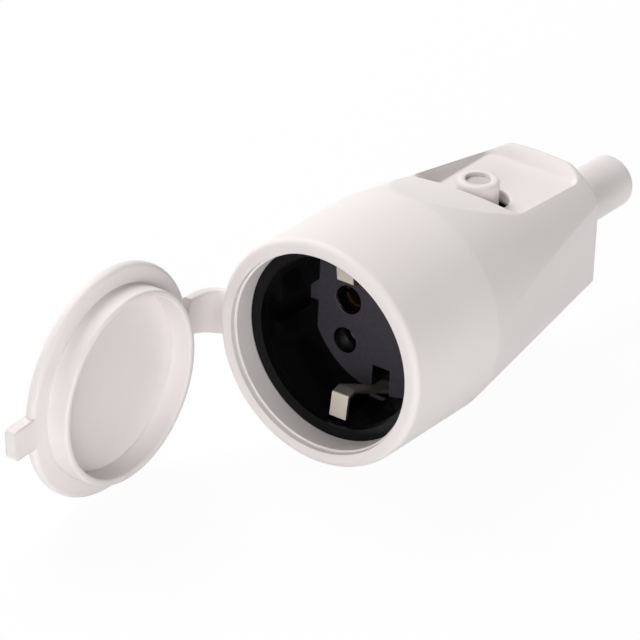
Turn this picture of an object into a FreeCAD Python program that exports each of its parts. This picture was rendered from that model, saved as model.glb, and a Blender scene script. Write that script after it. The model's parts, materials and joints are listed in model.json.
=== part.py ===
import FreeCAD, Part
import math
import os

# Inline socket connector with a flap lid. Millimetres, +Z up.
# +X points out of the mouth, along the way a plug is pulled. The origin is the centre of the
# recess opening, in the front rim of the insert. Depths (d) are measured back from the mouth
# face of the rubber sleeve, so x = MOUTH_X - d.
os.makedirs("parts", exist_ok=True)
V = FreeCAD.Vector
X_AXIS = V(1, 0, 0)
Y_AXIS = V(0, 1, 0)
Z_AXIS = V(0, 0, 1)

# Gaps between pieces that touch or slide
SEAT_GAP = 0.05
POCKET_GAP = 0.1
CARRIER_GAP = 0.1
SCREW_GAP = 0.2

# Insert face with the recess. The recess radius drives the radii around it.
RECESS_R = 19.75
RECESS_DEPTH = 17.5
RECESS_LEAD = 2.0
RECESS_STEP = 0.35
FLOOR_T = 3.5
BARREL_R = RECESS_R + 2.65
FLANGE_R = BARREL_R + 1.2
FLANGE_LEN = 3.1
RIM_CHAMFER = 0.4
PIN_PITCH = 19.0
PIN_HOLE_R = 3.0
PIN_SINK = 0.5
RIB_FACE_Y = RECESS_R - 2.55
RIB_INNER_Z = 2.6
RIB_OUTER_Z = 9.0
RIB_SETBACK = 3.8
NOTCH_W = 5.4
NOTCH_OUT_R = RECESS_R + 1.25
NOTCH_SETBACK = 1.6
SLOT_W = 4.7
CLIP_STAND = 6.6
SLOT_IN_R = RECESS_R - CLIP_STAND + 0.05
SLOT_OUT_R = RECESS_R + 0.45

# Sleeve: a round collar, a cone with two flat sides, a sloping roof, a narrow flat underneath
# and a nozzle
MOUTH_X = 6.6
BORE_R = FLANGE_R - 1.3
LIP_R = BORE_R + 0.5
LIP_DEPTH = 1.4
COLLAR_WALL = 2.3
COLLAR_R = FLANGE_R + POCKET_GAP + COLLAR_WALL
COLLAR_EDGE = 1.5
COLLAR_LEN = MOUTH_X + RECESS_DEPTH + FLOOR_T + 2.4
WALL = 3.0
TAPER_LEN = 53.0
REAR_D = COLLAR_LEN + TAPER_LEN
REAR_DROP = 7.63
REAR_R = COLLAR_R - REAR_DROP
FLAT_DROP = 10.4
REAR_FLAT_Y = COLLAR_R - FLAT_DROP
REAR_WALL = 2.8
REAR_EDGE = 1.0
ROOF_BREAK_D = COLLAR_LEN + 0.43 * TAPER_LEN
ROOF_BREAK_Z = REAR_R + 0.43
ROOF_REAR_Z = REAR_R - 1.2
ROOF_ARCH_R = 80.0
BASE_FLAT = 0.8

# Land sunk in the roof
LAND_Z = REAR_R - 4.27
LAND_HW = 11.8
LAND_FRONT_D = COLLAR_LEN + 0.475 * TAPER_LEN
LAND_REAR_D = REAR_D - 3.7
LAND_SLANT = 0.77
LAND_CORNER_R = 3.2
CEILING_T = 2.9
CEILING_BREAK_D = ROOF_BREAK_D - 4.0
CEILING_BREAK_Z = ROOF_BREAK_Z - 2.4

# Nozzle at the back
CORD_Z = -1.2
CORD_R = 4.3
NOZZLE_LEN = 28.9
NOZZLE_END = REAR_D + NOZZLE_LEN
NOZZLE_R = CORD_R + 1.9
NOZZLE_ROOT_R = NOZZLE_R + 1.3
NOZZLE_ROOT_LEN = 12.0
NOZZLE_EDGE = 0.9

# Eyelet on the land and the peg that stands in it
EYE_D = LAND_FRONT_D + 2.4
EYE_R = 4.7
EYE_H = 5.6
EYE_TOP_Z = LAND_Z + EYE_H
EYE_EDGE = 0.7
SLIT_R = 6.1
SLIT_SHIFT = 1.8
PEG_R = 2.8
PEG_SINK = 0.7
PEG_FOOT_R = 4.3
PEG_FOOT_H = 0.8
PEG_SPIGOT_R = 1.5
PEG_SPIGOT_H = 2.2

# Earth clips
CLIP_T = 0.7
CLIP_W = 4.3
CLIP_LEG_R = RECESS_R - 1.15
CLIP_TIP_R = RECESS_R - CLIP_STAND - 0.05
CLIP_BEND = 0.6
CLIP_SETBACK = 5.2

# Rear contact carrier
CARRIER_R = RECESS_R - 0.55
CARRIER_LEN = 12.3
TAIL_HW = 6.3
TAIL_T = 2.8
TAIL_Z = LAND_Z - CEILING_T - 1.0 - TAIL_T
CLAMP_START = EYE_D + 4.9
CLAMP_LEN = 7.5
CLAMP_END = CLAMP_START + CLAMP_LEN
TAIL_END = CLAMP_END + 1.0
CLAMP_HW = 10.0
CLAMP_CHANNEL_R = CORD_R - 0.3
CLAMP_TOP_Z = TAIL_Z + TAIL_T - 0.8
SADDLE_LEN = 6.0
SADDLE_H = 6.4
SADDLE_EDGE = 1.6
SADDLE_SINK = 2.2
CLAMP_SCREW_Y = 7.4
CLAMP_SCREW_LEN = 8.5
SCREW_R = 1.5
SCREW_HEAD_R = 2.6
SCREW_HEAD_H = 2.0
SCREW_EDGE = 0.35
SLOT_CUT_W = 0.7
SLOT_CUT_D = 0.8

# Contacts and terminals
TUBE_OUT_R = 3.3
TUBE_IN_R = 2.45
TUBE_SLIT_W = 0.8
BLOCK_W = 7.0
BLOCK_H = 7.6
BLOCK_LEN = 9.0
WIRE_HOLE_R = 1.5
BRIDGE_T = 1.0
BRIDGE_W = 5.6
EARTH_BLOCK_LEN = 7.5
EARTH_BLOCK_H = 7.0
EARTH_BLOCK_TOP = -5.0

# Assembly screws in their wells
WELL_RADIUS = RECESS_R - 5.75
WELL_R = 3.0
WELL_WALL = 1.4
WELL_DEPTH = 7.0
WELL_SHOULDER = 2.0
NUT_AF = 5.5
NUT_T = 2.4

# Lid, in its closed place in front of the mouth
LID_GAP = 0.35
LID_T = 2.55
LID_R = COLLAR_R
LID_EDGE = 1.0
RING_R = BORE_R - 0.7
RING_T = 1.6
RING_H = 5.15
RING_EDGE = 0.5
TAB_REACH = LID_R + 5.8
TAB_W = 7.0
TAB_CORNER = 1.0
HINGE_X = MOUTH_X + 3.0
HINGE_Y = -(COLLAR_R + 4.75)
HINGE_LEAN = 0.037
LID_OPEN = 90.0

# Strap between sleeve and lid
STRAP_Z = 0.6
STRAP_W = 10.4
STRAP_T = 2.2


def at(d):
    return MOUTH_X - d


def box(d0, d1, y0, y1, z0, z1):
    return Part.makeBox(d1 - d0, y1 - y0, z1 - z0, V(at(d1), y0, z0))


def rod(r, d0, d1, y=0.0, z=0.0):
    return Part.makeCylinder(r, d1 - d0, V(at(d1), y, z), X_AXIS)


def post(r, z0, z1, d, y=0.0):
    return Part.makeCylinder(r, z1 - z0, V(at(d), y, z0), Z_AXIS)


def fuse(first, others):
    out = first.fuse(others)
    return out.removeSplitter()


def polygon_face(points):
    return Part.Face(Part.makePolygon(points + [points[0]]))


def turned(pairs, z=0.0):
    """Solid of revolution about a line parallel to X, from (depth, radius) pairs."""
    face = polygon_face([V(at(d), 0, r + z) for d, r in pairs])
    return face.revolve(V(0, 0, z), X_AXIS, 360)


def edges_where(shape, test):
    return [e for e in shape.Edges if test(e)]


def circle_edges(shape, r, x):
    def test(e):
        curve = e.Curve
        if not isinstance(curve, Part.Circle):
            return False
        return abs(curve.Radius - r) < 1e-3 and abs(curve.Center.x - x) < 1e-3
    return edges_where(shape, test)


def arc_edge(a, m, b):
    return Part.Arc(a, m, b).toShape()


def side_prism(points, y0, y1):
    """Outline of (depth, z) points extruded across Y."""
    face = polygon_face([V(at(d), y0, z) for d, z in points])
    return face.extrude(V(0, y1 - y0, 0))


def plan_prism(points, z0, z1):
    """Outline of (depth, y) points extruded upwards."""
    face = polygon_face([V(at(d), y, z0) for d, y in points])
    return face.extrude(V(0, 0, z1 - z0))


def arched_roof(d0, z0, d1, z1):
    """Everything above a gently arched roof whose crown runs from (d0, z0) to (d1, z1)."""
    half = COLLAR_R
    drop = ROOF_ARCH_R - math.sqrt(ROOF_ARCH_R ** 2 - half ** 2)
    x = at(d0)
    left = V(x, -half, z0 - drop)
    right = V(x, half, z0 - drop)
    top_left = V(x, -half, 2 * COLLAR_R)
    top_right = V(x, half, 2 * COLLAR_R)
    edges = [arc_edge(left, V(x, 0, z0), right), Part.makeLine(right, top_right),
             Part.makeLine(top_right, top_left), Part.makeLine(top_left, left)]
    return Part.Face(Part.Wire(edges)).extrude(V(d0 - d1, 0, z1 - z0))


def plan_wire(d0, d1, hw, z):
    corners = [V(at(d0), -hw, z), V(at(d1), -hw, z), V(at(d1), hw, z), V(at(d0), hw, z)]
    return Part.makePolygon(corners + [corners[0]])


def screw(head_r, head_h, shank_r, shank_len):
    """Slotted screw standing on the origin, head up, shank running down -Z."""
    head = Part.makeCylinder(head_r, head_h)
    rim = [e for e in head.Edges if abs(e.BoundBox.ZMin - head_h) < 1e-6]
    head = head.makeChamfer(SCREW_EDGE, [e for e in rim if isinstance(e.Curve, Part.Circle)])
    slot = Part.makeBox(2 * head_r + 1, SLOT_CUT_W, SLOT_CUT_D + 1)
    slot.translate(V(-head_r - 0.5, -0.5 * SLOT_CUT_W, head_h - SLOT_CUT_D))
    shank = Part.makeCylinder(shank_r, shank_len, V(0, 0, -shank_len))
    tip = [e for e in shank.Edges if abs(e.BoundBox.ZMax + shank_len) < 1e-6]
    shank = shank.makeChamfer(0.4, [e for e in tip if isinstance(e.Curve, Part.Circle)])
    return fuse(head.cut(slot), [shank])


def strip(points, thickness, width):
    """Bent strip: a line of (depth, height) points given a thickness, extruded across Y."""
    pts = [V(at(d), 0, z) for d, z in points]
    sides = ([], [])
    for i, p in enumerate(pts):
        before = (p - pts[i - 1]).normalize() if i else None
        after = (pts[i + 1] - p).normalize() if i < len(pts) - 1 else None
        run = before or after
        if before is not None and after is not None:
            run = (before + after).normalize()
        normal = V(-run.z, 0, run.x)
        reach = 0.5 * thickness
        if before is not None and after is not None:
            reach = reach / max(0.2, run.dot(after))
        sides[0].append(p + normal * reach)
        sides[1].append(p - normal * reach)
    outline = sides[0] + sides[1][::-1]
    solid = polygon_face(outline).extrude(V(0, width, 0))
    solid.translate(V(0, -0.5 * width, 0))
    return solid


def along_y(e, ends):
    if not isinstance(e.Curve, Part.Line):
        return False
    a = e.Vertexes[0].Point
    b = e.Vertexes[1].Point
    if abs(a.x - b.x) > 1e-6 or abs(a.z - b.z) > 1e-6:
        return False
    return all(math.hypot(a.x - q.x, a.z - q.z) > 1.2 for q in ends)


FLOOR_FRONT = MOUTH_X + RECESS_DEPTH
FLOOR_BACK = FLOOR_FRONT + FLOOR_T
CARRIER_FRONT = FLOOR_BACK + CARRIER_GAP
CARRIER_BACK = CARRIER_FRONT + CARRIER_LEN
WELL_YZ = WELL_RADIUS * math.sin(math.radians(45))
WELLS = [(-WELL_YZ, -WELL_YZ), (WELL_YZ, WELL_YZ)]
HEAD_SEAT = FLOOR_FRONT + WELL_DEPTH
WELL_BACK = HEAD_SEAT + WELL_SHOULDER
PIN_Y = 0.5 * PIN_PITCH

# Outer sleeve: collar, flat-sided cone, roof with the sunk land, eyelet and nozzle in one
# rubber moulding. The flat underneath keeps it from rolling.
FAR = 2 * COLLAR_R
taper = (COLLAR_R - REAR_R) / TAPER_LEN
bevel_d = REAR_D - REAR_EDGE
collar = turned([(0, 0), (0, COLLAR_R), (COLLAR_LEN, COLLAR_R), (bevel_d, REAR_R + taper * REAR_EDGE),
                 (REAR_D, REAR_R - REAR_EDGE), (REAR_D, 0)])
collar = collar.makeFillet(COLLAR_EDGE, circle_edges(collar, COLLAR_R, MOUTH_X))
body = collar
side_slope = (COLLAR_R - REAR_FLAT_Y) / TAPER_LEN
bevel_y = REAR_FLAT_Y + side_slope * REAR_EDGE
for sy in (-1, 1):
    body = body.cut(plan_prism([(COLLAR_LEN, sy * COLLAR_R), (bevel_d, sy * bevel_y),
                                (REAR_D, sy * (REAR_FLAT_Y - REAR_EDGE)), (REAR_D, sy * FAR),
                                (COLLAR_LEN, sy * FAR)], -FAR, FAR))
body = body.cut(arched_roof(COLLAR_LEN, COLLAR_R, ROOF_BREAK_D, ROOF_BREAK_Z))
body = body.cut(arched_roof(ROOF_BREAK_D, ROOF_BREAK_Z, bevel_d, ROOF_REAR_Z))
body = body.cut(arched_roof(bevel_d, ROOF_REAR_Z, REAR_D, ROOF_REAR_Z - REAR_EDGE))
flat_d = COLLAR_LEN - BASE_FLAT / taper
body = body.cut(side_prism([(flat_d, -COLLAR_R), (bevel_d, BASE_FLAT - REAR_R - taper * REAR_EDGE),
                            (REAR_D, BASE_FLAT + REAR_EDGE - REAR_R), (REAR_D, -FAR), (flat_d, -FAR)], -FAR, FAR))
rise = COLLAR_R - LAND_Z
reach = LAND_SLANT * rise
pocket = Part.makeLoft([plan_wire(LAND_FRONT_D, LAND_REAR_D, LAND_HW, LAND_Z),
                        plan_wire(LAND_FRONT_D - reach, LAND_REAR_D + reach, LAND_HW + reach, LAND_Z + rise)],
                       True, True)
pocket = pocket.makeFillet(LAND_CORNER_R, edges_where(pocket, lambda e: e.BoundBox.ZLength > 1))
body = body.cut(pocket)
ceiling_z = LAND_Z - CEILING_T
slit = post(SLIT_R, ceiling_z - 1, FAR, EYE_D + SLIT_SHIFT)
body = body.cut(slit)
eye = post(EYE_R, ceiling_z, EYE_TOP_Z, EYE_D)
eye = eye.makeFillet(EYE_EDGE, edges_where(eye, lambda e: e.BoundBox.ZMin > EYE_TOP_Z - 1e-6))
nozzle = turned([(REAR_D - 2, 0), (REAR_D - 2, NOZZLE_ROOT_R), (REAR_D, NOZZLE_ROOT_R),
                 (REAR_D + NOZZLE_ROOT_LEN, NOZZLE_R), (NOZZLE_END, NOZZLE_R), (NOZZLE_END, 0)], CORD_Z)
nozzle = nozzle.makeFillet(NOZZLE_EDGE, circle_edges(nozzle, NOZZLE_R, at(NOZZLE_END)))
body = fuse(body, [eye, nozzle])
front_in = FLOOR_BACK + CARRIER_GAP + POCKET_GAP
cavity = turned([(-1, 0), (-1, LIP_R), (LIP_DEPTH, LIP_R), (LIP_DEPTH, BORE_R), (MOUTH_X, BORE_R),
                 (MOUTH_X, FLANGE_R + POCKET_GAP), (MOUTH_X + FLANGE_LEN, FLANGE_R + POCKET_GAP),
                 (MOUTH_X + FLANGE_LEN, BARREL_R + POCKET_GAP), (front_in, BARREL_R + POCKET_GAP),
                 (REAR_D - REAR_WALL, REAR_R - WALL), (REAR_D - REAR_WALL, 0)])
for sy in (-1, 1):
    cavity = cavity.cut(plan_prism([(COLLAR_LEN, sy * (COLLAR_R - WALL)), (REAR_D, sy * (REAR_FLAT_Y - WALL)),
                                    (REAR_D, sy * FAR), (COLLAR_LEN, sy * FAR)], -FAR, FAR))
cavity = cavity.cut(side_prism([(COLLAR_LEN, COLLAR_R - CEILING_T), (CEILING_BREAK_D, CEILING_BREAK_Z),
                                (CEILING_BREAK_D, ceiling_z), (REAR_D, ceiling_z), (REAR_D, FAR),
                                (COLLAR_LEN, FAR)], -FAR, FAR))
sleeve = body.cut(cavity)
sleeve = sleeve.cut(rod(CORD_R, REAR_D - REAR_WALL - 1, NOZZLE_END + 1, 0, CORD_Z))
sleeve = sleeve.cut(post(PEG_R + SEAT_GAP, ceiling_z - 1, FAR, EYE_D))
sleeve = sleeve.removeSplitter()
sleeve.exportStep("parts/outer_sleeve.step")

# Insert face: recess, guide ribs, pin holes, clip notches and screw wells
c = RIM_CHAMFER
face = turned([(MOUTH_X + c, FLANGE_R), (MOUTH_X + FLANGE_LEN, FLANGE_R), (MOUTH_X + FLANGE_LEN, BARREL_R),
               (FLOOR_BACK, BARREL_R), (FLOOR_BACK, 0), (FLOOR_FRONT, 0), (FLOOR_FRONT, RECESS_R - RECESS_STEP),
               (MOUTH_X + RECESS_LEAD, RECESS_R - RECESS_STEP), (MOUTH_X + RECESS_LEAD, RECESS_R),
               (MOUTH_X, RECESS_R), (MOUTH_X, FLANGE_R - c)])
ribs = []
for sy in (-1, 1):
    for sz in (-1, 1):
        y0, y1 = sorted((sy * RIB_FACE_Y, sy * (RECESS_R + 0.5)))
        z0, z1 = sorted((sz * RIB_INNER_Z, sz * RIB_OUTER_Z))
        rib = box(MOUTH_X + RIB_SETBACK, FLOOR_FRONT + 0.5, y0, y1, z0, z1)
        ribs.append(rib.common(rod(RECESS_R + 0.5, MOUTH_X, FLOOR_BACK)))
for wy, wz in WELLS:
    ribs.append(rod(WELL_R + WELL_WALL, FLOOR_FRONT + 1, WELL_BACK, wy, wz))
face = fuse(face, ribs)
for sz in (-1, 1):
    z0, z1 = sorted((sz * (RECESS_R - 3), sz * NOTCH_OUT_R))
    face = face.cut(box(MOUTH_X + NOTCH_SETBACK, FLOOR_FRONT, -0.5 * NOTCH_W, 0.5 * NOTCH_W, z0, z1))
    z0, z1 = sorted((sz * SLOT_IN_R, sz * SLOT_OUT_R))
    face = face.cut(box(FLOOR_FRONT - 1, FLOOR_BACK + 1, -0.5 * SLOT_W, 0.5 * SLOT_W, z0, z1))
for sy in (-1, 1):
    face = face.cut(rod(PIN_HOLE_R, FLOOR_FRONT - 1, FLOOR_BACK + 1, sy * PIN_Y))
    sink = Part.makeCone(PIN_HOLE_R, PIN_HOLE_R + PIN_SINK, PIN_SINK, V(at(FLOOR_FRONT + PIN_SINK), sy * PIN_Y, 0),
                         X_AXIS)
    face = face.cut(sink)
for wy, wz in WELLS:
    face = face.cut(rod(WELL_R, FLOOR_FRONT - 1, HEAD_SEAT, wy, wz))
    face = face.cut(rod(SCREW_R + SCREW_GAP, FLOOR_FRONT, WELL_BACK + 1, wy, wz))
face = face.removeSplitter()
face.exportStep("parts/socket_face.step")

# Rear contact carrier with its tail and the fixed half of the cord clamp
carrier = rod(CARRIER_R, CARRIER_FRONT, CARRIER_BACK)
flat_z = CLIP_LEG_R - 0.5 * CLIP_T - SEAT_GAP
for sz in (-1, 1):
    z0, z1 = sorted((sz * flat_z, sz * FAR))
    carrier = carrier.cut(box(CARRIER_FRONT - 1, CARRIER_BACK + 1, -FAR, FAR, z0, z1))
tail = box(CARRIER_BACK - 1, TAIL_END, -TAIL_HW, TAIL_HW, TAIL_Z, TAIL_Z + TAIL_T)
clamp_block = box(CLAMP_START, CLAMP_END, -CLAMP_HW, CLAMP_HW, CORD_Z, TAIL_Z + TAIL_T)
clamp_block = clamp_block.cut(rod(CLAMP_CHANNEL_R, CLAMP_START - 1, CLAMP_END + 1, 0, CORD_Z))
upper = box(CLAMP_START - 1, CLAMP_END + 1, -FAR, FAR, CLAMP_TOP_Z, FAR)
carrier = fuse(carrier, [tail, clamp_block.cut(upper)])
window = box(CARRIER_BACK, CARRIER_BACK + BRIDGE_T + SCREW_GAP, -0.5 * BRIDGE_W - SCREW_GAP,
             0.5 * BRIDGE_W + SCREW_GAP, 0, FAR)
carrier = carrier.cut(window)
for sy in (-1, 1):
    carrier = carrier.cut(rod(TUBE_OUT_R + SEAT_GAP, CARRIER_FRONT - 1, CARRIER_BACK + 1, sy * PIN_Y))
    carrier = carrier.cut(post(SCREW_R + SEAT_GAP, CORD_Z - 1, CLAMP_TOP_Z - 2.9, 0.5 * (CLAMP_START + CLAMP_END),
                               sy * CLAMP_SCREW_Y))
nut_front = CARRIER_BACK - NUT_T
for wy, wz in WELLS:
    carrier = carrier.cut(rod(WELL_R + WELL_WALL + SEAT_GAP, CARRIER_FRONT - 1, WELL_BACK, wy, wz))
    carrier = carrier.cut(rod(SCREW_R + SCREW_GAP, WELL_BACK - 1, CARRIER_BACK + 1, wy, wz))
    hexagon = [V(at(nut_front), wy + (0.5 * NUT_AF + SEAT_GAP) / math.cos(math.radians(30))
                 * math.cos(math.radians(60 * k)),
                 wz + (0.5 * NUT_AF + SEAT_GAP) / math.cos(math.radians(30)) * math.sin(math.radians(60 * k)))
               for k in range(6)]
    carrier = carrier.cut(polygon_face(hexagon).extrude(V(-NUT_T - 1, 0, 0)))
carrier = carrier.cut(post(PEG_SPIGOT_R + SEAT_GAP, TAIL_Z - 1, TAIL_Z + TAIL_T + 1, EYE_D))
carrier = carrier.removeSplitter()
carrier.exportStep("parts/contact_carrier.step")

# Locking peg on the tail, up through the eyelet
peg_base = TAIL_Z + TAIL_T
peg = fuse(post(PEG_R, peg_base, EYE_TOP_Z - PEG_SINK, EYE_D),
           [post(PEG_FOOT_R, peg_base, peg_base + PEG_FOOT_H, EYE_D),
            post(PEG_SPIGOT_R, peg_base - PEG_SPIGOT_H, peg_base + 0.5, EYE_D)])
peg.exportStep("parts/locking_peg.step")

# Live and neutral contacts: slit tube to the front, terminal block behind
block_start = CARRIER_BACK + 0.1
for name, sy in (("live", -1), ("neutral", 1)):
    y = sy * PIN_Y
    tube = rod(TUBE_OUT_R, CARRIER_FRONT, block_start + 1, y).cut(
        rod(TUBE_IN_R, CARRIER_FRONT - 1, block_start + 0.5, y))
    tube = tube.cut(box(CARRIER_FRONT - 1, CARRIER_BACK - 3, y - 5, y + 5, -0.5 * TUBE_SLIT_W, 0.5 * TUBE_SLIT_W))
    block = box(block_start, block_start + BLOCK_LEN, y - 0.5 * BLOCK_W, y + 0.5 * BLOCK_W,
                -0.5 * BLOCK_H, 0.5 * BLOCK_H)
    contact = fuse(block, [tube])
    contact = contact.cut(rod(WIRE_HOLE_R, block_start + 2, block_start + BLOCK_LEN + 1, y))
    contact = contact.cut(post(SCREW_R + SEAT_GAP, 0, 10, block_start + 0.55 * BLOCK_LEN, y))
    contact = contact.removeSplitter()
    contact.exportStep("parts/" + name + "_contact.step")
    terminal = screw(SCREW_HEAD_R, SCREW_HEAD_H, SCREW_R, 0.5 * BLOCK_H - 0.3)
    terminal.translate(V(at(block_start + 0.55 * BLOCK_LEN), y, 0.5 * BLOCK_H))
    terminal.exportStep("parts/" + name + "_terminal_screw.step")

# Earth clips, the bridge that joins them and its terminal
slope_end = MOUTH_X + CLIP_SETBACK
path = [(CARRIER_BACK, CLIP_LEG_R), (FLOOR_FRONT + 0.6, CLIP_LEG_R), (slope_end, CLIP_TIP_R),
        (slope_end - 2.2, CLIP_TIP_R + 0.6), (slope_end - 2.9, CLIP_LEG_R + 0.2)]
for name, sz in (("lower", -1), ("upper", 1)):
    clip = strip([(d, sz * r) for d, r in path], CLIP_T, CLIP_W)
    ends = [V(at(path[0][0]), 0, sz * path[0][1]), V(at(path[-1][0]), 0, sz * path[-1][1])]
    bends = edges_where(clip, lambda e: along_y(e, ends))
    clip = clip.makeFillet(CLIP_BEND, bends)
    clip.exportStep("parts/earth_clip_" + name + ".step")
bridge_end = CLIP_LEG_R + 0.5 * CLIP_T
bridge = box(CARRIER_BACK, CARRIER_BACK + BRIDGE_T, -0.5 * BRIDGE_W, 0.5 * BRIDGE_W, -bridge_end, bridge_end)
earth_start = CARRIER_BACK + BRIDGE_T
earth_block = box(earth_start, earth_start + EARTH_BLOCK_LEN, -0.5 * BRIDGE_W, 0.5 * BRIDGE_W,
                  EARTH_BLOCK_TOP - EARTH_BLOCK_H, EARTH_BLOCK_TOP)
bridge = fuse(bridge, [earth_block])
earth_mid_z = EARTH_BLOCK_TOP - 0.5 * EARTH_BLOCK_H
bridge = bridge.cut(rod(WIRE_HOLE_R, earth_start + 1.5, earth_start + EARTH_BLOCK_LEN + 1, 0, earth_mid_z))
earth_screw_d = earth_start + 0.55 * EARTH_BLOCK_LEN
bridge = bridge.cut(post(SCREW_R + SEAT_GAP, earth_mid_z, 0, earth_screw_d))
bridge.exportStep("parts/earth_bridge.step")
earth_screw = screw(SCREW_HEAD_R, SCREW_HEAD_H, SCREW_R, 0.5 * EARTH_BLOCK_H - 0.3)
earth_screw.translate(V(at(earth_screw_d), 0, EARTH_BLOCK_TOP))
earth_screw.exportStep("parts/earth_terminal_screw.step")

# Assembly screws and the nuts they pull on
for k, (wy, wz) in enumerate(WELLS):
    fixing = screw(SCREW_HEAD_R, SCREW_HEAD_H, SCREW_R, CARRIER_BACK - HEAD_SEAT)
    fixing.rotate(V(0, 0, 0), Y_AXIS, 90)
    fixing.translate(V(at(HEAD_SEAT), wy, wz))
    fixing.exportStep("parts/assembly_screw_%d.step" % (k + 1))
    corner_r = 0.5 * NUT_AF / math.cos(math.radians(30))
    hexagon = [V(at(nut_front), wy + corner_r * math.cos(math.radians(60 * j)),
                 wz + corner_r * math.sin(math.radians(60 * j))) for j in range(6)]
    nut = polygon_face(hexagon).extrude(V(-NUT_T, 0, 0))
    nut = nut.cut(rod(SCREW_R + SEAT_GAP, nut_front - 1, CARRIER_BACK + 1, wy, wz))
    nut.exportStep("parts/assembly_nut_%d.step" % (k + 1))

# Clamp saddle under the cord way, with its two screws
saddle_mid = 0.5 * (CLAMP_START + CLAMP_END)
saddle = box(saddle_mid - 0.5 * SADDLE_LEN, saddle_mid + 0.5 * SADDLE_LEN, -CLAMP_HW, CLAMP_HW,
             CORD_Z - SADDLE_H, CORD_Z)
low_edges = edges_where(saddle, lambda e: e.BoundBox.ZMax < CORD_Z - SADDLE_H + 0.01 and e.BoundBox.XLength > 3)
saddle = saddle.makeChamfer(SADDLE_EDGE, low_edges)
saddle = saddle.cut(rod(CLAMP_CHANNEL_R, CLAMP_START - 1, CLAMP_END + 1, 0, CORD_Z))
head_seat_z = CORD_Z - SADDLE_H + SADDLE_SINK
for k, sy in enumerate((-1, 1)):
    saddle = saddle.cut(post(SCREW_R + SCREW_GAP, CORD_Z - SADDLE_H - 1, CORD_Z + 1, saddle_mid, sy * CLAMP_SCREW_Y))
    saddle = saddle.cut(post(SCREW_HEAD_R + 0.3, CORD_Z - SADDLE_H - 3, head_seat_z, saddle_mid,
                             sy * CLAMP_SCREW_Y))
    clamp_screw = screw(SCREW_HEAD_R, SCREW_HEAD_H, SCREW_R, CLAMP_SCREW_LEN)
    clamp_screw.rotate(V(0, 0, 0), X_AXIS, 180)
    clamp_screw.translate(V(at(saddle_mid), sy * CLAMP_SCREW_Y, head_seat_z))
    clamp_screw.exportStep("parts/clamp_screw_%d.step" % (k + 1))
saddle = saddle.removeSplitter()
saddle.exportStep("parts/clamp_saddle.step")

# Lid: disc, plug ring and tab in one moulding, drawn closed and then swung open
disc = Part.makeCylinder(LID_R, LID_T, V(MOUTH_X + LID_GAP, 0, 0), X_AXIS)
tab_root = LID_R - 6.0
tab = Part.makeBox(LID_T, TAB_REACH - tab_root, TAB_W, V(MOUTH_X + LID_GAP, tab_root, -0.5 * TAB_W))
tab = tab.makeFillet(TAB_CORNER, edges_where(tab, lambda e: e.BoundBox.YMin > TAB_REACH - 0.01
                                             and e.BoundBox.XLength > 1))
ring_x = MOUTH_X + LID_GAP
ring_wall = Part.makeCylinder(RING_R, RING_H + 1, V(ring_x - RING_H, 0, 0), X_AXIS).cut(
    Part.makeCylinder(RING_R - RING_T, RING_H + 1, V(ring_x - RING_H, 0, 0), X_AXIS))
ring_wall = ring_wall.makeFillet(RING_EDGE, circle_edges(ring_wall, RING_R, ring_x - RING_H)
                                 + circle_edges(ring_wall, RING_R - RING_T, ring_x - RING_H))
lid = disc.makeFillet(LID_EDGE, circle_edges(disc, LID_R, MOUTH_X + LID_GAP)
                      + circle_edges(disc, LID_R, MOUTH_X + LID_GAP + LID_T))
lid = fuse(lid, [tab, ring_wall])
lid.rotate(V(HINGE_X, HINGE_Y, 0), V(HINGE_LEAN, -HINGE_LEAN, 1), -LID_OPEN)
lid.exportStep("parts/lid.step")

# Strap: a bowed band from the side of the collar to the edge of the open lid
z0 = STRAP_Z - 0.5 * STRAP_W
lid_side = HINGE_Y + 0.45
sleeve_side = -(COLLAR_R - 0.4)
lid_x = HINGE_X + 6.4
outer_a = V(MOUTH_X - 5.4, sleeve_side, z0)
outer_m = V(MOUTH_X + 0.6, lid_side + 0.4, z0)
outer_b = V(lid_x, lid_side, z0)
inner_b = V(lid_x, lid_side + STRAP_T, z0)
inner_m = V(MOUTH_X + 0.2 + STRAP_T, lid_side + 0.6 + STRAP_T, z0)
inner_a = V(MOUTH_X - 1.7, sleeve_side, z0)
outline = Part.Wire([arc_edge(outer_a, outer_m, outer_b), Part.makeLine(outer_b, inner_b),
                     arc_edge(inner_b, inner_m, inner_a), Part.makeLine(inner_a, outer_a)])
strap = Part.Face(outline).extrude(V(0, 0, STRAP_W))
strap = strap.cut(rod(COLLAR_R, -FAR, FAR))
strap = strap.cut(lid)
if len(strap.Solids) > 1:
    strap = max(strap.Solids, key=lambda s: s.Volume)
strap.exportStep("parts/hinge_strap.step")
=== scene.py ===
# %% [markdown]
# # An inline socket connector with a flap lid
# The object is a round rubber socket for a cord's end. It has a soft white sleeve, a black
# insert with the plug recess, sprung earth clips, and a lid that hangs on a rubber strap.
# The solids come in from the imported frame, already at their true size and place. This lesson
# gives them finishes, makes the few pieces that are soft or too fine for the solids, and
# sets up the light and the camera.

# %% Load the frame
import json
import math
import bpy
from mathutils import Matrix, Vector


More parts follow.
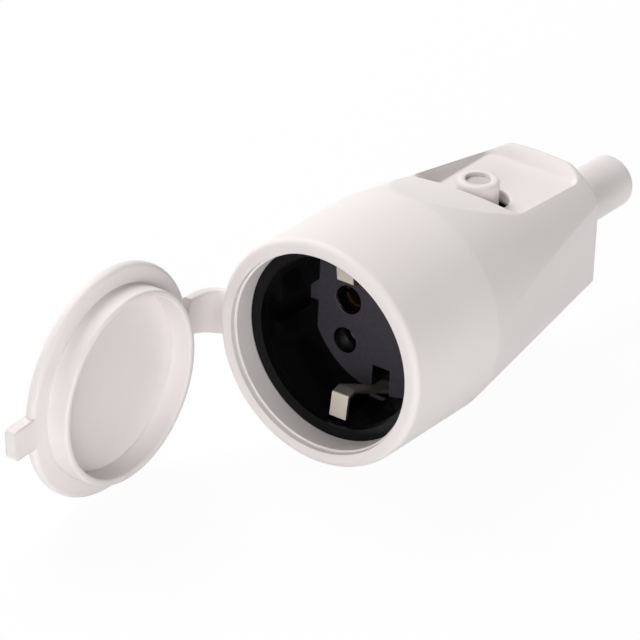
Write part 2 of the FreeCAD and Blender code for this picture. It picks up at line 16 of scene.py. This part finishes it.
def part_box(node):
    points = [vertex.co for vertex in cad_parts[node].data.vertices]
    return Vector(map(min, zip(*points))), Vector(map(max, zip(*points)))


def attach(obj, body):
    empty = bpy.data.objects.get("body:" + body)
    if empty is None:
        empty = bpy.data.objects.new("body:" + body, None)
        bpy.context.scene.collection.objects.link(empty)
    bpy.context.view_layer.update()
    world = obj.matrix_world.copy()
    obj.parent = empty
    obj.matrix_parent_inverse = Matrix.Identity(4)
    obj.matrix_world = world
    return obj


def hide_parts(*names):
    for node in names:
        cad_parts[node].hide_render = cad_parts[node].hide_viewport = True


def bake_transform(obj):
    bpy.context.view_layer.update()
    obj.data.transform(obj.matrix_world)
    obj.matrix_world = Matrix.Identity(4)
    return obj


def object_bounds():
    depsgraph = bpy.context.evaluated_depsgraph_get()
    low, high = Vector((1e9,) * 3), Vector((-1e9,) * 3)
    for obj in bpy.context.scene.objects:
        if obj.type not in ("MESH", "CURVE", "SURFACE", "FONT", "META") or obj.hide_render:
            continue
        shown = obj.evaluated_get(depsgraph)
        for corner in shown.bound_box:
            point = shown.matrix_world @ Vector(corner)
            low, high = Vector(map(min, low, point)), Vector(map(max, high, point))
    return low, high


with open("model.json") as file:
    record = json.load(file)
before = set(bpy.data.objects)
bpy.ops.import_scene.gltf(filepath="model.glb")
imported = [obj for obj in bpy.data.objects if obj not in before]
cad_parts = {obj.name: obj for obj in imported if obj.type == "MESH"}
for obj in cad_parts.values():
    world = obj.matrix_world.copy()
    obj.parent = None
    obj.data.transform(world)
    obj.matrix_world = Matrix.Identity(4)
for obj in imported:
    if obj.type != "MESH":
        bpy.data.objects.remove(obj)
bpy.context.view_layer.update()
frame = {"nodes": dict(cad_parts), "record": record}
nodes = frame["nodes"]
MM = 0.001

# %% [markdown]
# ## A small language for node trees
# Node trees are easier to read as sums and products than as boxes and wires. The first class
# below wraps one output socket, so `0.5 + cloud * 0.1` adds the Math nodes by itself. The
# second wraps a whole tree, and its one method makes any node: the settings go in first, then
# the values or the links of the inputs. Materials, the sky and Geometry Nodes all use it.

# %% Sockets that can be added and multiplied, and the node maker
class Value:
    """One output socket. Its sums and products are Math nodes."""

    def __init__(self, graph, socket):
        self.graph = graph
        self.socket = socket

    def math(self, operation, other):
        return self.graph.node("ShaderNodeMath", {"operation": operation}, {0: self, 1: other})

    def __add__(self, other):
        return self.math("ADD", other)

    def __mul__(self, other):
        return self.math("MULTIPLY", other)

    __radd__ = __add__
    __rmul__ = __mul__


class Graph:
    """A node tree, and the one method that adds any node to it."""

    def __init__(self, tree):
        self.tree = tree

    def node(self, kind, settings=None, inputs=None, output=0):
        made = self.tree.nodes.new(kind)
        for key, value in (settings or {}).items():
            setattr(made, key, value)
        for key, value in (inputs or {}).items():
            self.feed(made.inputs[key], value)
        return Value(self, made.outputs[output])

    def feed(self, slot, value):
        if isinstance(value, Value):
            self.tree.links.new(value.socket, slot)
        else:
            slot.default_value = value


print("a tree is a Graph, and a socket is a Value")

# %% [markdown]
# ## A finish
# Every material here is one Principled shader with a few patterns on it, so the calls that
# they share are written once. Patterns are placed by the object's own coordinates, in metres,
# and so they keep their scale on every piece and have no seams.

# %% The finish class
class Finish(Graph):
    """A material, and the calls that fill its shader."""

    def __init__(self, name):
        self.material = bpy.data.materials.new(name)
        self.material.use_nodes = True
        super().__init__(self.material.node_tree)
        self.shader = self.tree.nodes["Principled BSDF"]

    def set(self, **values):
        for key, value in values.items():
            self.feed(self.shader.inputs[key.replace("_", " ")], value)

    def place(self):
        return self.node("ShaderNodeTexCoord", output="Object")

    def place_x(self):
        return self.node("ShaderNodeSeparateXYZ", {}, {"Vector": self.place()}, "X")

    def noise(self, scale, detail=3.0, roughness=0.5, vector=None):
        inputs = {"Vector": vector or self.place(), "Scale": scale, "Detail": detail,
                  "Roughness": roughness}
        return self.node("ShaderNodeTexNoise", {}, inputs, "Fac")

    def mix(self, factor, a, b):
        return self.node("ShaderNodeMix", {"data_type": "RGBA"}, {0: factor, 6: a, 7: b}, 2)

    def bump(self, height, strength, distance, below=None):
        inputs = {"Strength": strength, "Distance": distance, "Height": height}
        if below is not None:
            inputs["Normal"] = below
        return self.node("ShaderNodeBump", {}, inputs, "Normal")


def rgb(r, g, b):
    """An sRGB colour, as a picture editor shows it, turned into the linear values Blender mixes."""
    def linear(c):
        c = c / 255.0
        return c / 12.92 if c <= 0.04045 else ((c + 0.055) / 1.055) ** 2.4
    return (linear(r), linear(g), linear(b), 1.0)


print("an off-white as linear light:", [round(c, 3) for c in rgb(232, 228, 224)])

# %% [markdown]
# ## White rubber
# The sleeve, the strap and the lid are soft rubber, moulded in a blasted tool. The skin is
# matt with a very fine grain, and it has faint cloudy patches where hands and dust have been.
# A painted picture could give that, but noise on the object's own coordinates needs no file
# and has no seams, and it keeps its scale in millimetres. Rubber has no crisp edges, so a
# Bevel node turns the normals near each edge. The body of the sleeve gets a wide one, and its
# mouth and the lid a narrow one, since their steps are fine.

# %% The rubber finish
MOUTH_END = -3 * MM
BODY_START = -12 * MM


def make_rubber(name, mouth_rim, body_rim):
    f = Finish(name)
    grain = f.noise(2600.0, 2.0, 0.6)
    orange_peel = f.noise(420.0, 2.0, 0.5)
    cloud = f.noise(38.0, 3.0, 0.55)
    rim = f.node("ShaderNodeMapRange", {},
                 {"Value": f.place_x(), "From Min": MOUTH_END, "From Max": BODY_START,
                  "To Min": mouth_rim, "To Max": body_rim}, "Result")
    soft = f.node("ShaderNodeBevel", {"samples": 8}, {"Radius": rim})
    fine = f.bump(grain, 0.10, 0.04 * MM, soft)
    clean, handled = rgb(237, 232, 231), rgb(230, 223, 222)
    f.set(Base_Color=f.mix(cloud, clean, handled), Roughness=0.50 + cloud * 0.10 + grain * 0.06,
          Normal=f.bump(orange_peel, 0.06, 0.2 * MM, fine), Specular_IOR_Level=0.38)
    return f.material


rubber = make_rubber("white_rubber", 0.7 * MM, 0.7 * MM)
sleeve_rubber = make_rubber("white_rubber_sleeve", 0.35 * MM, 1.3 * MM)
print("made", rubber.name, "and", sleeve_rubber.name)

# %% [markdown]
# ## Black moulded plastic
# The insert is hard, glossy plastic. What makes black plastic read as plastic is a clear
# reflection that is broken a little by dust and by the flow of the melt, so the roughness
# varies while the colour hardly does. The recess floor is painted greyer than the walls and
# made rougher. The grey is painted light, standing for the light that falls in through the
# mouth onto the floor. A Compare on the depth tells the floor from the walls without a second material.

# %% The black plastic finish
RECESS_FLOOR_X = -17.5 * MM
FLOOR_BAND = 0.2 * MM


def make_black():
    f = Finish("black_plastic")
    flow = f.noise(90.0, 4.0, 0.6)
    dust = f.noise(1500.0, 2.0, 0.7)
    deep = f.node("ShaderNodeMath", {"operation": "COMPARE"},
                  {0: f.place_x(), 1: RECESS_FLOOR_X, 2: FLOOR_BAND})
    gloss = f.mix(dust, rgb(6, 6, 7), rgb(10, 9, 11))
    # The floor's grey is painted light: the lit recess floor is painted lighter than the shaded walls.
    painted_lit_floor = f.mix(dust, rgb(56, 53, 59), rgb(76, 72, 79))
    f.set(Base_Color=f.mix(deep, gloss, painted_lit_floor), Roughness=0.18 + flow * 0.10 + dust * 0.04 + deep * 0.22,
          Normal=f.bump(flow, 0.03, 0.2 * MM), Specular_IOR_Level=0.20)
    return f.material


black = make_black()
print("made", black.name)

# %% [markdown]
# ## Grey plastic
# The peg that locks the insert in the sleeve is a plainer grey plastic, and only its round
# head is seen, in the eyelet. It is satin, so dust shows on it more than gloss does. One fine
# noise is enough for a piece this small.

# %% The grey plastic finish
def make_grey():
    f = Finish("grey_plastic")
    dust = f.noise(1300.0, 2.0, 0.7)
    f.set(Base_Color=f.mix(dust, rgb(192, 184, 183), rgb(208, 200, 199)), Roughness=0.42 + dust * 0.12,
          Normal=f.bump(dust, 0.08, 0.1 * MM))
    return f.material


grey = make_grey()
print("made", grey.name)

# %% [markdown]
# ## Metals
# The clips are nickel on brass: a warm silver with fine rolling lines along the strip. The
# contacts are bare brass, and their colour is painted shade: much darker than brass, for the
# dark pin holes they sit in. The screws are zinc plated steel. Each takes its lines from
# noise that is stretched along one axis, which a Mapping node does by a small scale on that axis.

# %% The metal finishes
ALONG_STRIP = (0.08, 1.0, 1.0)
ALONG_TUBE = (0.10, 1.0, 1.0)
ALONG_SHANK = (1.0, 1.0, 0.2)


def make_metal(name, dark, light, roughness, stretch):
    f = Finish(name)
    lined = f.node("ShaderNodeMapping", {}, {"Vector": f.place(), "Scale": stretch}, "Vector")
    lines = f.noise(900.0, 3.0, 0.6, lined)
    stain = f.noise(160.0, 3.0, 0.5)
    f.set(Base_Color=f.mix(stain, dark, light), Metallic=1.0,
          Roughness=roughness + lines * 0.10 + stain * 0.05, Normal=f.bump(lines, 0.10, 0.06 * MM))
    return f.material


nickel = make_metal("nickel_plate", rgb(196, 188, 176), rgb(222, 216, 206), 0.38, ALONG_STRIP)
# The brass colours are painted shade: far darker than brass, for the dark pin holes the contacts sit in.
brass = make_metal("brass", rgb(78, 62, 40), rgb(104, 84, 54), 0.42, ALONG_TUBE)
steel = make_metal("steel", rgb(176, 177, 180), rgb(204, 205, 208), 0.26, ALONG_SHANK)
print("made", nickel.name, brass.name, steel.name)

# %% [markdown]
# ## Each solid gets its finish
# The record that came with the solids names a material slot for each of them, so a table from
# slot to finish dresses them all in one loop. The sleeve alone has its own rubber, because
# its edges are rounder than the lid's.

# %% Dress the solids
FINISHES = {"white_rubber": rubber, "black_plastic": black, "grey_plastic": grey,
            "nickel_plate": nickel, "brass": brass, "steel": steel}


def dress(obj, material):
    obj.data.materials.clear()
    obj.data.materials.append(material)


for part in frame["record"]["subparts"]:
    dress(nodes[part["node"]], FINISHES[part["material_slot"]])
dress(nodes["outer_sleeve"], sleeve_rubber)

# %% [markdown]
# ## Trees that make shapes
# The strap and the threads both come out of Geometry Nodes. A tree starts with named inputs
# for its sizes, and ends by making its shape real and giving it a finish, so those two ends
# are written once. A tree's result is then baked to a plain mesh that rides on a body.

# %% The two ends of a tree, and the step from tree to mesh
def open_tree(name, sizes):
    """A new tree with named inputs, and those inputs as values."""
    tree = bpy.data.node_groups.new(name, "GeometryNodeTree")
    face = tree.interface
    face.new_socket("Geometry", in_out="INPUT", socket_type="NodeSocketGeometry")
    for label, kind in sizes.items():
        face.new_socket(label, in_out="INPUT", socket_type="NodeSocket" + kind)
    face.new_socket("Geometry", in_out="OUTPUT", socket_type="NodeSocketGeometry")
    graph = Graph(tree)
    outputs = tree.nodes.new("NodeGroupInput").outputs
    return graph, {label: Value(graph, outputs[label]) for label in ["Geometry", *sizes]}


def close_tree(graph, shape, material):
    """Makes the shape real, coats it and hands it out."""
    plain = graph.node("GeometryNodeRealizeInstances", {}, {"Geometry": shape})
    coat = graph.node("GeometryNodeSetMaterial", {}, {"Geometry": plain, "Material": material})
    graph.feed(graph.tree.nodes.new("NodeGroupOutput").inputs[0], coat)
    return graph.tree


def grow(obj, tree, values, body=None):
    """Runs the tree on obj, keeps the result as a plain mesh and lets it ride on a body."""
    modifier = obj.modifiers.new("grow", "NODES")
    modifier.node_group = tree
    for item in tree.interface.items_tree:
        if item.in_out == "INPUT" and item.name in values:
            modifier[item.identifier] = values[item.name]
    shape = obj.evaluated_get(bpy.context.evaluated_depsgraph_get())
    mesh = bpy.data.meshes.new_from_object(shape)
    made = bpy.data.objects.new(obj.name + "_mesh", mesh)
    bpy.data.objects.remove(obj)
    bpy.context.scene.collection.objects.link(made)
    if body:
        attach(made, body)
    return made


def smooth(obj, angle):
    for polygon in obj.data.polygons:
        polygon.use_smooth = True
    obj.data.set_sharp_from_angle(angle=math.radians(angle))


print("trees can be opened, closed and grown")

# %% [markdown]
# ## The strap, a bent band
# The lid hangs on a band of the same rubber. Its solid is stiff, because the motion model
# has no soft pieces, so here a band swept along a curved path takes its place. It is a path with a width and
# a thickness, which is what Geometry Nodes' Curve to Mesh is for: the path is a spline, the
# section is a rounded rectangle, and both sizes stay as named inputs.

# %% The band tree
def band_tree():
    graph, given = open_tree("band_on_a_path", {"Width": "Float", "Thickness": "Float", "Round": "Float",
                                                "Steps": "Int"})
    path = graph.node("GeometryNodeResampleCurve", {}, {"Curve": given["Geometry"], "Count": given["Steps"]})
    outline = graph.node("GeometryNodeCurvePrimitiveQuadrilateral", {},
                         {"Width": given["Thickness"], "Height": given["Width"]})
    section = graph.node("GeometryNodeFilletCurve", {"mode": "POLY"},
                         {"Curve": outline, "Count": 4, "Radius": given["Round"]})
    swept = graph.node("GeometryNodeCurveToMesh", {},
                       {"Curve": path, "Profile Curve": section, "Fill Caps": True})
    return close_tree(graph, swept, rubber)


STRAP_SIZES = {"Width": 10.4 * MM, "Thickness": 2.2 * MM, "Round": 0.6 * MM, "Steps": 30}
print("strap sizes in metres:", STRAP_SIZES)

# %% [markdown]
# The path leaves the side of the sleeve, bows outwards and ends on the edge of the open lid.
# A spline that touches only its end points gives that bow with five of them.

# %% The strap itself
STRAP_PATH = [(2.2, -26.0, -0.6), (3.6, -28.4, -0.5), (6.4, -29.9, 0.2), (10.0, -30.3, 1.0),
              (14.9, -29.6, 1.5)]


def make_path(name, points):
    curve = bpy.data.curves.new(name, "CURVE")
    curve.dimensions = "3D"
    spline = curve.splines.new("NURBS")
    spline.points.add(len(points) - 1)
    for point, (x, y, z) in zip(spline.points, points):
        point.co = (x * MM, y * MM, z * MM, 1.0)
    spline.order_u = 3
    spline.use_endpoint_u = True
    curve.resolution_u = 16
    obj = bpy.data.objects.new(name, curve)
    bpy.context.scene.collection.objects.link(obj)
    return obj


strap = grow(make_path("strap", STRAP_PATH), band_tree(), STRAP_SIZES)
smooth(strap, 50.0)
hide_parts("hinge_strap")
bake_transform(strap)
print("strap:", len(strap.data.polygons), "faces")

# %% [markdown]
# ## Screw threads
# Seven screws hold the insert, the cord and its cores. Their solids are plain shanks, since a
# thread would cost thousands of facets there. A thread is one profile carried along a helix,
# and it repeats on every screw, so one tree makes it: the pitch and the number of turns are
# inputs, and each screw only says where its shank starts and which way it runs.

# %% The thread tree
def thread_tree():
    graph, given = open_tree("thread", {"Radius": "Float", "Pitch": "Float", "Turns": "Float",
                                        "Ridge": "Float", "Start": "Vector", "Turn": "Vector"})
    helix = graph.node("GeometryNodeCurveSpiral", {},
                       {"Resolution": 20, "Rotations": given["Turns"], "Start Radius": given["Radius"],
                        "End Radius": given["Radius"], "Height": given["Pitch"] * given["Turns"]})
    ridge = graph.node("GeometryNodeCurvePrimitiveCircle", {}, {"Resolution": 4, "Radius": given["Ridge"]})
    swept = graph.node("GeometryNodeCurveToMesh", {},
                       {"Curve": helix, "Profile Curve": ridge, "Fill Caps": True})
    placed = graph.node("GeometryNodeTransform", {},
                        {"Geometry": swept, "Translation": given["Start"], "Rotation": given["Turn"]})
    return close_tree(graph, placed, steel)


thread = thread_tree()
print("thread tree:", len(thread.nodes), "nodes")

# %% [markdown]
# Where a shank starts can be read from the box around its solid: the head is 2 mm high, and
# the thread keeps clear of both ends of the bare shank. The assembly screws lie along X, with
# the head to the front. Those of the terminals and the clamp stand along Z, and only the
# clamp's have their head below.

# %% A thread on every screw
SHANK_R = 1.47 * MM
PITCH = 0.5 * MM
RIDGE_R = 0.16 * MM
HEAD_H = 2.0 * MM
CLEAR = 0.6 * MM
TOWARDS = {"X": (0.0, math.radians(90), 0.0), "Z": (0.0, 0.0, 0.0)}
SCREWS = [("assembly_screw_1", "X", True), ("assembly_screw_2", "X", True),
          ("live_terminal_screw", "Z", True), ("neutral_terminal_screw", "Z", True),
          ("earth_terminal_screw", "Z", True), ("clamp_screw_1", "Z", False), ("clamp_screw_2", "Z", False)]


def shank_of(name, axis, head_high):
    """Start and length of a screw's bare shank, from the box around its solid."""
    low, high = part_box(name)
    start = (low + high) * 0.5
    k = "XYZ".index(axis)
    start[k] = low[k] + (CLEAR if head_high else HEAD_H + CLEAR)
    return start, high[k] - low[k] - HEAD_H - 2 * CLEAR


for name, axis, head_high in SCREWS:
    start, length = shank_of(name, axis, head_high)
    seed = bpy.data.objects.new(name + "_thread", bpy.data.meshes.new(name + "_thread"))
    bpy.context.scene.collection.objects.link(seed)
    turns = max(1.0, math.floor(length / PITCH))
    made = grow(seed, thread, {"Radius": SHANK_R, "Pitch": PITCH, "Turns": turns, "Ridge": RIDGE_R,
                               "Start": start, "Turn": TOWARDS[axis]}, "housing")
    smooth(made, 30.0)
print("threads on", len(SCREWS), "screws")

# %% [markdown]
# ## The floor
# The connector lies on a wide pale sheet. A white floor that is only lit would need so much
# light that the rubber clips, so the rays that come from the camera or off a shiny surface
# see it glow instead, mixed with a little of its lit self. That little keeps the shadow.

# %% A floor that looks white
WHITE = (1.0, 1.0, 1.0, 1.0)
FLOOR_HALF = 6.0
FLOOR_DROP = 0.2 * MM
FLOOR_GLOW = 0.96


def clear_view(graph):
    """One for rays from the camera, off a shiny surface or through a clear one, else zero."""
    seen = graph.node("ShaderNodeLightPath", output="Is Camera Ray")
    for kind in ("Is Glossy Ray", "Is Transmission Ray"):
        seen = seen + graph.node("ShaderNodeLightPath", output=kind)
    return seen


def make_floor(z):
    corners = [(-FLOOR_HALF, -FLOOR_HALF, z), (FLOOR_HALF, -FLOOR_HALF, z),
               (FLOOR_HALF, FLOOR_HALF, z), (-FLOOR_HALF, FLOOR_HALF, z)]
    mesh = bpy.data.meshes.new("floor")
    mesh.from_pydata(corners, [], [(0, 1, 2, 3)])
    obj = bpy.data.objects.new("floor", mesh)
    bpy.context.scene.collection.objects.link(obj)
    f = Finish("floor_white")
    f.set(Base_Color=(0.86, 0.86, 0.86, 1.0), Roughness=0.9)
    glow = f.node("ShaderNodeEmission", {}, {"Color": WHITE})
    lit = Value(f, f.shader.outputs[0])
    shown = f.node("ShaderNodeMixShader", {}, {0: clear_view(f) * FLOOR_GLOW, 1: lit, 2: glow})
    f.feed(f.tree.nodes["Material Output"].inputs["Surface"], shown)
    obj.data.materials.append(f.material)
    return obj


low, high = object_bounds()
floor = make_floor(low.z - FLOOR_DROP)
print("floor at", round(low.z / MM, 1), "mm")

# %% [markdown]
# ## The sky
# Behind the part the sky is plain white, but as a light it is dim and uneven: it is darkest
# above the near side, which leaves a soft grey band between the bright roof and the lower
# half of the sleeve. The product of a ray's direction with the darkest one says how near they
# are, and a Map Range turns that into a strength.

# %% A dim sky with a white backdrop
SKY_TINT = (1.0, 0.985, 0.985, 1.0)
DARKEST = (0.0, 0.57, 0.82)


def make_sky():
    world = bpy.data.worlds.new("studio")
    world.use_nodes = True
    bpy.context.scene.world = world
    sky = Graph(world.node_tree)
    ray = sky.node("ShaderNodeTexCoord", output="Generated")
    facing = sky.node("ShaderNodeVectorMath", {"operation": "DOT_PRODUCT"}, {0: ray, 1: DARKEST}, "Value")
    strength = sky.node("ShaderNodeMapRange", {}, {"Value": facing, "To Min": 0.36, "To Max": 0.02}, "Result")
    dim = sky.node("ShaderNodeBackground", {}, {"Color": SKY_TINT, "Strength": strength})
    backdrop = sky.node("ShaderNodeBackground", {}, {"Color": WHITE})
    shown = sky.node("ShaderNodeMixShader", {}, {0: clear_view(sky), 1: dim, 2: backdrop})
    sky.feed(sky.tree.nodes["World Output"].inputs["Surface"], shown)
    return world


print("sky:", make_sky().name)

# %% [markdown]
# ## The lamps
# One big lamp stands high behind the far side, so the top and the roof are bright. A lamp in
# front of the mouth lights the lip and the recess, and a long low one on the near side lights
# the lid and lifts the lower half of the sleeve. A weak fourth lamp reaches down into the
# sunk land, whose far wall the others leave dark.

# %% Four lamps that face the part
TARGET = Vector((-0.02, 0.0, 0.0))
LAMPS = {"key": ((-0.15, -0.50, 0.75), (0.5, 0.5), 7.3, (1.0, 0.99, 0.99)),
         "mouth": ((0.77, 0.30, 0.26), (0.4, 0.4), 3.4, (1.0, 1.0, 1.0)),
         "fill": ((0.00, 0.72, 0.40), (0.3, 0.3), 0.25, (1.0, 1.0, 1.0)),
         "side": ((0.10, 0.85, 0.02), (1.0, 0.10), 2.2, (1.0, 0.99, 0.985))}


def make_lamp(name, place, size, watts, colour):
    data = bpy.data.lights.new(name, "AREA")
    data.shape = "RECTANGLE"
    data.size, data.size_y = size
    data.energy = watts
    data.color = colour
    obj = bpy.data.objects.new(name, data)
    obj.location = place
    obj.rotation_euler = (TARGET - Vector(place)).to_track_quat("-Z", "Y").to_euler()
    bpy.context.scene.collection.objects.link(obj)


for name, (place, size, watts, colour) in LAMPS.items():
    make_lamp(name, place, size, watts, colour)
print("lamps:", ", ".join(LAMPS))

# %% [markdown]
# ## The camera
# The photo was taken from a long way off with a long lens, from in front of the mouth and to
# its right, and turned a little. The mouth's rim is a known circle, so its ellipse in the
# picture gives the direction. Three angles and the place of the mouth's centre in the frame
# then fix the camera.

# %% Camera from three angles and one known point
AZIMUTH = 35.46
ELEVATION = 28.22
ROLL = -2.5
FRAME_PX = 640.0
FOCAL_PX = 5000.0
SENSOR_MM = 36.0
MOUTH_CENTRE = Vector((6.6 * MM, 0.0, 0.0))
MOUTH_PX = (316.7, 354.9)
PX_PER_M = 4749.0


def set_camera():
    a, e, r = (math.radians(angle) for angle in (AZIMUTH, ELEVATION, ROLL))
    back = Vector((math.cos(a) * math.cos(e), math.sin(a) * math.cos(e), math.sin(e)))
    level = Vector((-math.sin(a), math.cos(a), 0.0))
    upright = back.cross(level)
    right = level * math.cos(r) - upright * math.sin(r)
    up = level * math.sin(r) + upright * math.cos(r)
    distance = FOCAL_PX / PX_PER_M
    across = (MOUTH_PX[0] - FRAME_PX / 2) * distance / FOCAL_PX
    upward = -(MOUTH_PX[1] - FRAME_PX / 2) * distance / FOCAL_PX
    data = bpy.data.cameras.new("camera")
    data.sensor_width = SENSOR_MM
    data.lens = FOCAL_PX * SENSOR_MM / FRAME_PX
    data.clip_start = 0.05
    data.clip_end = 50.0
    obj = bpy.data.objects.new("camera", data)
    place = MOUTH_CENTRE - right * across - up * upward + back * distance
    turn = Matrix((right, up, back)).transposed().to_4x4()
    obj.matrix_world = Matrix.Translation(place) @ turn
    bpy.context.scene.collection.objects.link(obj)
    bpy.context.scene.camera = obj
    return obj


camera = set_camera()
bpy.context.scene.view_settings.view_transform = "Standard"
print("camera at", [round(c, 3) for c in camera.location], "lens", round(camera.data.lens, 1))
